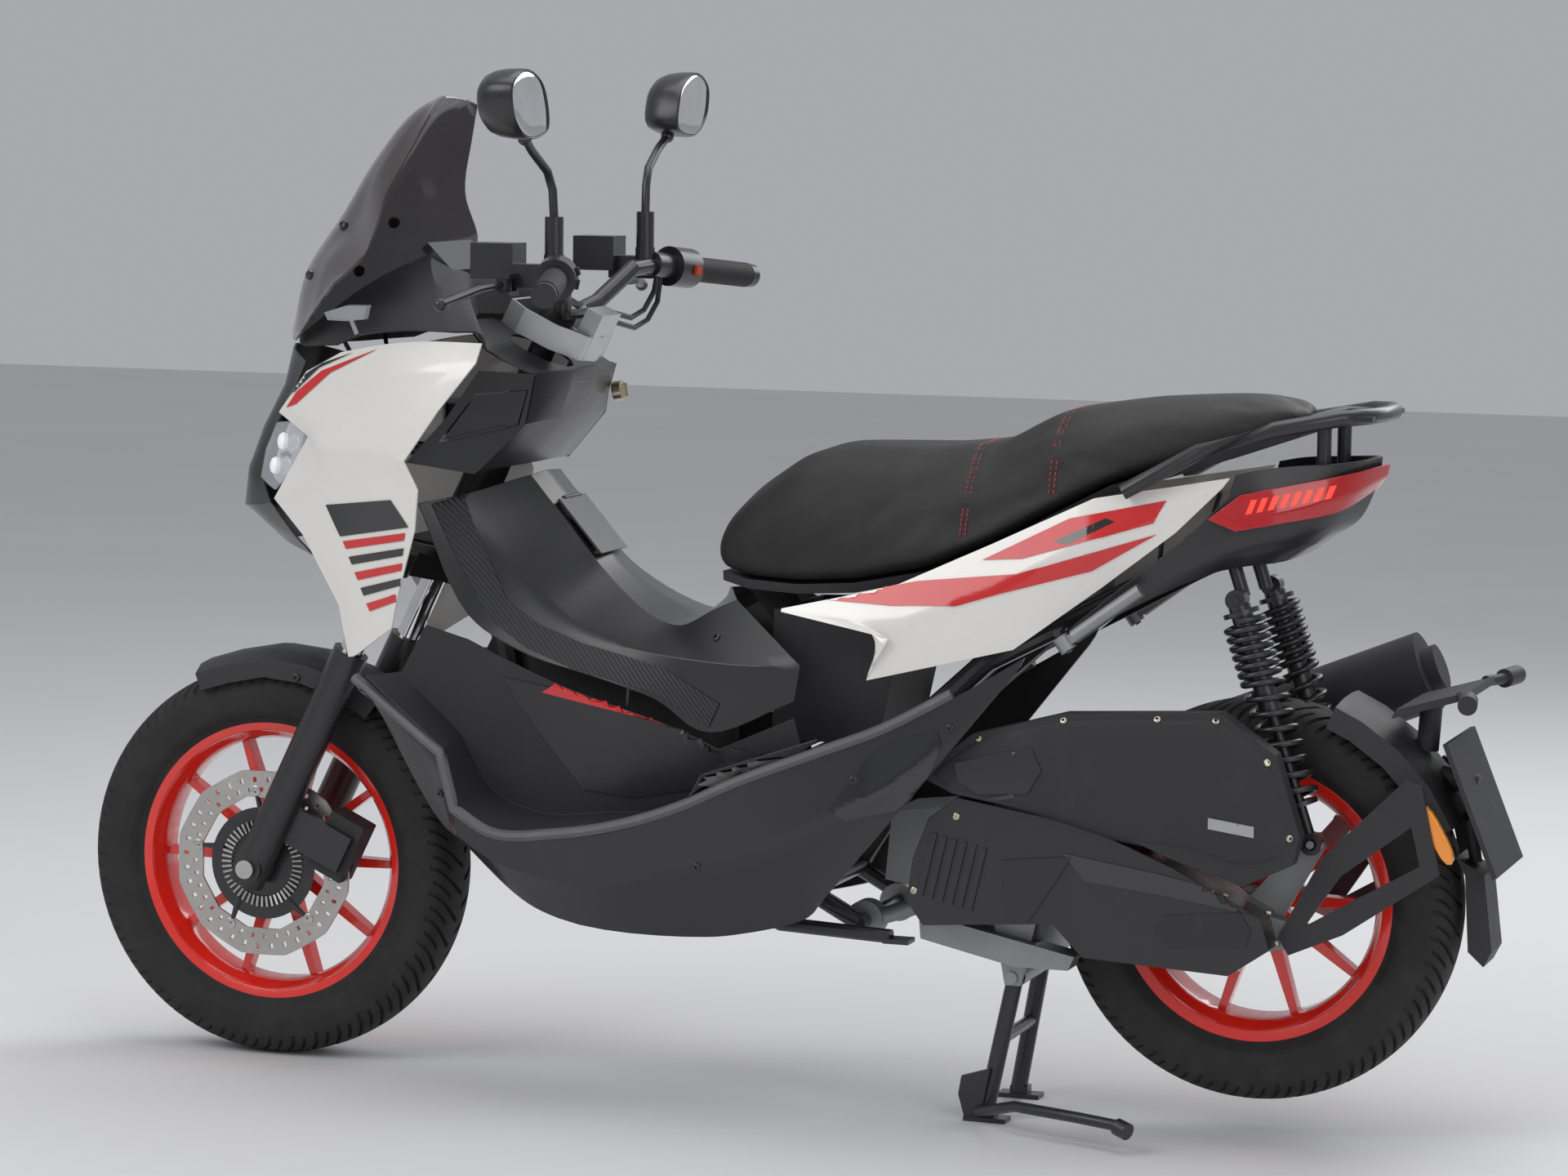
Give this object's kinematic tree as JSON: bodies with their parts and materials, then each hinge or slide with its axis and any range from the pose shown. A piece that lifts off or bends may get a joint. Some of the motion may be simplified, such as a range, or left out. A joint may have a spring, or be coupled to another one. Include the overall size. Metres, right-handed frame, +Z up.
{
  "type": "moped scooter",
  "caption": "Step-through scooter with tall screen, two-part seat, telescopic fork, swinging engine unit with twin shocks and centre stand, built as jointed pieces.",
  "frame": {"origin": "on the ground under the middle of the overall length and width, scooter on its centre stand", "axes": "+X towards the rear, +Y to the rider's right, +Z up"},
  "size_m": [1.94, 0.7922, 1.332],
  "materials": {
    "frame_paint": "satin black",
    "white_panel": "pearl",
    "black_panel": "fine grain",
    "lens": "clear",
    "smoke_screen": "smoked",
    "display": "gloss",
    "seat_cover": "fine grain",
    "red_lens": "gloss",
    "rubber": "moulded",
    "tyre": "cut tread",
    "red_rim": "gloss",
    "chrome": "polished",
    "steel": "turned",
    "aluminium": "cast",
    "silver_plastic": "metallic",
    "black_metal": "satin",
    "tank": "moulded",
    "coloured_button": "moulded"
  },
  "bodies": {
    "chassis": {"frame": "frame_paint", "front_side_panels": "white_panel", "nose_mask": "black_panel", "front_lamps": "lens", "windscreen": "smoke_screen", "dash_cowl": "black_panel", "instrument_cluster": "display", "leg_shield": "black_panel", "tunnel_cover": "black_panel", "fuel_tank": "tank", "footboards": "black_panel", "floor_skirts": "black_panel", "rear_side_panels": "white_panel", "tail_fairing": "black_panel", "tail_light": "red_lens", "grab_rail": "black_metal", "storage_bin": "tank"},
    "glovebox_door": {"glovebox_door": "black_panel"},
    "fuel_door": {"fuel_door": "black_panel"},
    "fuel_cap": {"fuel_cap": "tank"},
    "ignition_switch": {"ignition_switch": "steel"},
    "seat": {"seat_cushion": "seat_cover", "seat_base": "tank"},
    "left_peg": {"left_pillion_peg": "black_metal"},
    "right_peg": {"right_pillion_peg": "black_metal"},
    "side_stand": {"side_stand": "black_metal"},
    "steering": {"fork_yoke": "black_metal", "fork_stanchions": "chrome", "handlebar": "black_metal", "bar_cover": "silver_plastic", "left_grip": "rubber", "bar_controls": "black_panel"},
    "throttle": {"throttle_grip": "rubber"},
    "left_lever": {"left_brake_lever": "black_metal"},
    "right_lever": {"right_brake_lever": "black_metal"},
    "horn_button": {"horn_button": "coloured_button"},
    "indicator_switch": {"indicator_switch": "coloured_button"},
    "starter_button": {"starter_button": "coloured_button"},
    "left_mirror": {"left_mirror": "black_panel"},
    "right_mirror": {"right_mirror": "black_panel"},
    "fork_lower": {"fork_sliders": "black_metal", "front_fender": "black_panel", "front_axle": "steel", "front_caliper": "black_metal"},
    "front_wheel": {"front_rim": "red_rim", "front_tyre": "tyre", "front_disc": "steel"},
    "engine_unit": {"engine_case": "aluminium", "transmission_cover": "black_panel", "airbox": "black_panel", "exhaust": "black_metal", "rear_hugger": "black_panel"},
    "drive_pulley": {"drive_pulley": "steel"},
    "driven_pulley": {"driven_pulley": "steel"},
    "rear_wheel": {"rear_rim": "red_rim", "rear_tyre": "tyre"},
    "shock_uppers": {"shock_bodies": "black_metal", "shock_springs": "black_metal"},
    "shock_lowers": {"shock_rods": "chrome"},
    "centre_stand": {"centre_stand": "black_metal"}
  },
  "joints": [
    {"name": "steering", "type": "hinge", "parent": "chassis", "child": "steering", "pos_m": [-0.42732, 0, 0.75638], "axis": [0.4305, 0, 0.9026], "range_deg": [-34, 34]},
    {"name": "fork_travel", "type": "slide", "parent": "steering", "child": "fork_lower", "axis": [0.4305, 0, 0.9026], "range_m": [-0.02, 0.09], "stiffness_N_per_m": 10000, "springref_m": -0.018},
    {"name": "front_wheel_spin", "type": "hinge", "parent": "fork_lower", "child": "front_wheel", "pos_m": [-0.7, 0, 0.266], "axis": [0, 1, 0], "continuous": true},
    {"name": "throttle_twist", "type": "hinge", "parent": "steering", "child": "throttle", "pos_m": [-0.19273, 0.32063, 1.06138], "axis": [0.2789, 0.9561, -0.0896], "range_deg": [0, 70], "stiffness_Nm_per_rad": 0.3},
    {"name": "left_brake", "type": "hinge", "parent": "steering", "child": "left_lever", "pos_m": [-0.292, -0.224, 1.06], "axis": [0, 0, 1], "range_deg": [0, 14], "stiffness_Nm_per_rad": 2},
    {"name": "right_brake", "type": "hinge", "parent": "steering", "child": "right_lever", "pos_m": [-0.292, 0.224, 1.06], "axis": [0, 0, -1], "range_deg": [0, 14], "stiffness_Nm_per_rad": 2},
    {"name": "horn_press", "type": "slide", "parent": "steering", "child": "horn_button", "axis": [-0.9338, -0.2918, 0.2071], "range_m": [0, 0.003], "stiffness_N_per_m": 400},
    {"name": "indicator_slide", "type": "slide", "parent": "steering", "child": "indicator_switch", "axis": [0.2789, -0.9561, -0.0896], "range_m": [-0.004, 0.004], "stiffness_N_per_m": 300},
    {"name": "starter_press", "type": "slide", "parent": "steering", "child": "starter_button", "axis": [-0.9521, 0.2875, 0.1041], "range_m": [0, 0.003], "stiffness_N_per_m": 400},
    {"name": "left_mirror_tilt", "type": "hinge", "parent": "steering", "child": "left_mirror", "pos_m": [-0.25, -0.262, 1.246], "axis": [0, 1, 0], "range_deg": [-12, 12]},
    {"name": "right_mirror_tilt", "type": "hinge", "parent": "steering", "child": "right_mirror", "pos_m": [-0.25, 0.262, 1.246], "axis": [0, 1, 0], "range_deg": [-12, 12]},
    {"name": "glovebox_hinge", "type": "hinge", "parent": "chassis", "child": "glovebox_door", "pos_m": [-0.38627, -0.18189, 0.8566], "axis": [0.9222, 0.3157, 0.2232], "range_deg": [0, 62]},
    {"name": "fuel_door_hinge", "type": "hinge", "parent": "chassis", "child": "fuel_door", "pos_m": [-0.28354, 0, 0.77361], "axis": [0, -1, 0], "range_deg": [0, 95]},
    {"name": "fuel_cap_turn", "type": "hinge", "parent": "chassis", "child": "fuel_cap", "pos_m": [-0.27109, 0, 0.72348], "axis": [0.7547, 0, 0.6561], "range_deg": [0, 90]},
    {"name": "ignition_turn", "type": "hinge", "parent": "chassis", "child": "ignition_switch", "pos_m": [-0.2593, 0.092, 0.908], "axis": [0.9848, 0, 0.1736], "range_deg": [0, 90]},
    {"name": "seat_hinge", "type": "hinge", "parent": "chassis", "child": "seat", "pos_m": [-0.026, 0, 0.69], "axis": [0, -1, 0], "range_deg": [0, 75]},
    {"name": "left_peg_fold", "type": "hinge", "parent": "chassis", "child": "left_peg", "pos_m": [0.44, -0.172, 0.631], "axis": [0.6, 0, -0.8], "range_deg": [0, 82]},
    {"name": "right_peg_fold", "type": "hinge", "parent": "chassis", "child": "right_peg", "pos_m": [0.44, 0.172, 0.631], "axis": [-0.6, 0, 0.8], "range_deg": [0, 82]},
    {"name": "side_stand_fold", "type": "hinge", "parent": "chassis", "child": "side_stand", "pos_m": [0.002, -0.141, 0.262], "axis": [-0.2, 0.9798, 0], "range_deg": [0, 95]},
    {"name": "rear_swing", "type": "hinge", "parent": "chassis", "child": "engine_unit", "pos_m": [0.157, 0, 0.25], "axis": [0, -1, 0], "range_deg": [0, 9.5], "stiffness_Nm_per_rad": 4200, "springref_deg": -1.72},
    {"name": "rear_wheel_spin", "type": "hinge", "parent": "engine_unit", "child": "rear_wheel", "pos_m": [0.66, 0, 0.3], "axis": [0, 1, 0], "continuous": true},
    {"name": "drive_pulley_spin", "type": "hinge", "parent": "engine_unit", "child": "drive_pulley", "pos_m": [0.329, -0.13, 0.345], "axis": [0, 1, 0], "continuous": true},
    {"name": "driven_pulley_spin", "type": "hinge", "parent": "engine_unit", "child": "driven_pulley", "pos_m": [0.606, -0.13, 0.285], "axis": [0, 1, 0], "continuous": true},
    {"name": "centre_stand_fold", "type": "hinge", "parent": "engine_unit", "child": "centre_stand", "pos_m": [0.357, 0, 0.19], "axis": [0, -1, 0], "range_deg": [0, 72]},
    {"name": "shock_swing", "type": "hinge", "parent": "chassis", "child": "shock_uppers", "pos_m": [0.641, 0, 0.688], "axis": [0, -1, 0], "range_deg": [0, 0.7]},
    {"name": "shock_stroke", "type": "slide", "parent": "shock_uppers", "child": "shock_lowers", "axis": [-0.3219, 0, 0.9468], "range_m": [0, 0.1], "deforming": ["shock_springs"]}
  ],
  "couplings": [
    {"joint": "shock_swing", "follows": "rear_swing", "ratio": 0.065},
    {"joint": "shock_stroke", "follows": "rear_swing", "m_per_rad": 0.601},
    {"joint": "driven_pulley_spin", "follows": "drive_pulley_spin", "ratio": 1.2857}
  ]
}
